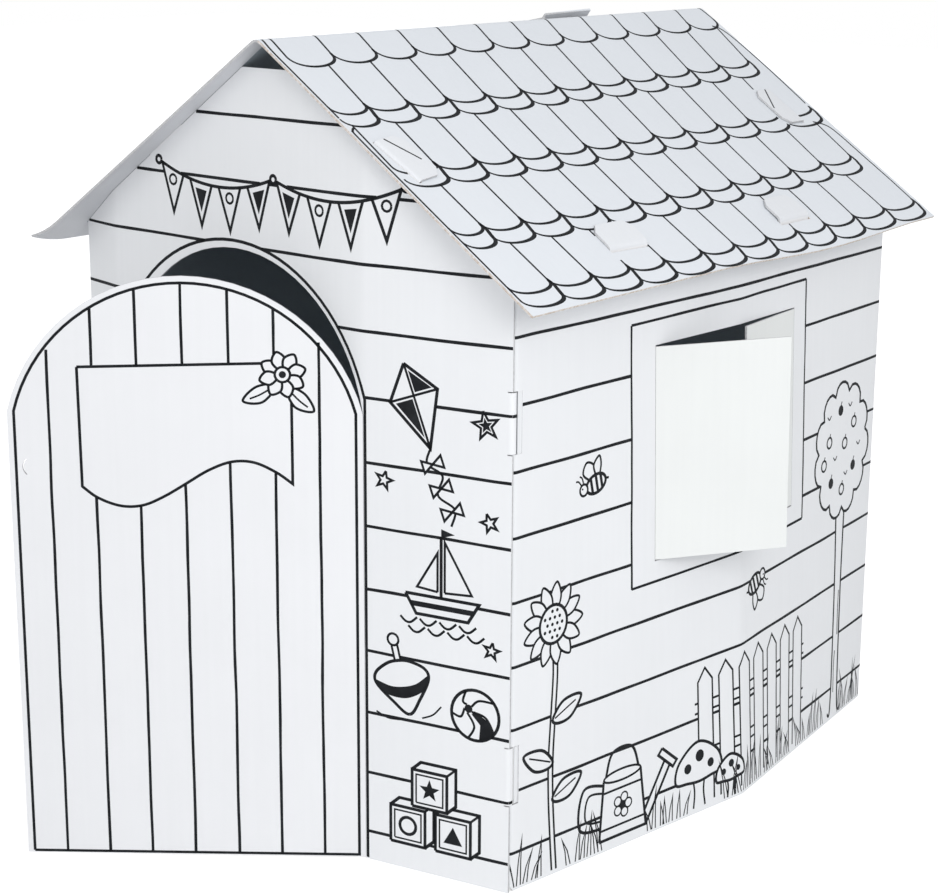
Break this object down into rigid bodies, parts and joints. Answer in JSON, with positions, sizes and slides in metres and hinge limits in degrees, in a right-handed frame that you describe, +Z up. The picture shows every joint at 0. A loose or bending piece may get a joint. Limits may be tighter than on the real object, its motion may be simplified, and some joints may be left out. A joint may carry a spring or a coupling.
{
  "type": "cardboard playhouse",
  "caption": "Free-standing child's playhouse of folded white corrugated card with a pitched roof sheet, an arched swinging door and a side window with swinging shutters.",
  "frame": {"origin": "on the floor, under the middle of the whole house's box with its door and front shutter ajar", "axes": "+Z up, -Y towards the front where the door is, +X towards the side wall with the window; the ridge runs along Y"},
  "size_m": [0.9212, 1.2542, 1.0453],
  "materials": {
    "wall_card": "white coated corrugated card with black line print, matt",
    "roof_card": "white coated corrugated card with black line print, matt",
    "door_card": "white coated corrugated card with black line print, matt",
    "shutter_card": "plain white coated corrugated card, matt"
  },
  "bodies": {
    "house": {"front_and_left_walls": "wall_card", "right_and_back_walls": "wall_card", "roof": "roof_card"},
    "door_leaf": {"door": "door_card"},
    "front_shutter": {"shutter_front": "shutter_card"},
    "rear_shutter": {"shutter_rear": "shutter_card"}
  },
  "joints": [
    {"name": "door_hinge", "type": "hinge", "parent": "house", "child": "door_leaf", "pos_m": [0.116, -0.3654, 0.002], "axis": [0, 0, 1], "range_deg": [-39.6, 120.4]},
    {"name": "front_shutter_hinge", "type": "hinge", "parent": "house", "child": "front_shutter", "pos_m": [0.34917, -0.05771, 0.3748], "axis": [-0.0389, 0.0171, 0.9991], "range_deg": [-127, 33]},
    {"name": "rear_shutter_hinge", "type": "hinge", "parent": "house", "child": "rear_shutter", "pos_m": [0.35796, 0.28036, 0.3748], "axis": [-0.0419, 0.0185, 0.9989], "range_deg": [-3, 157]}
  ]
}
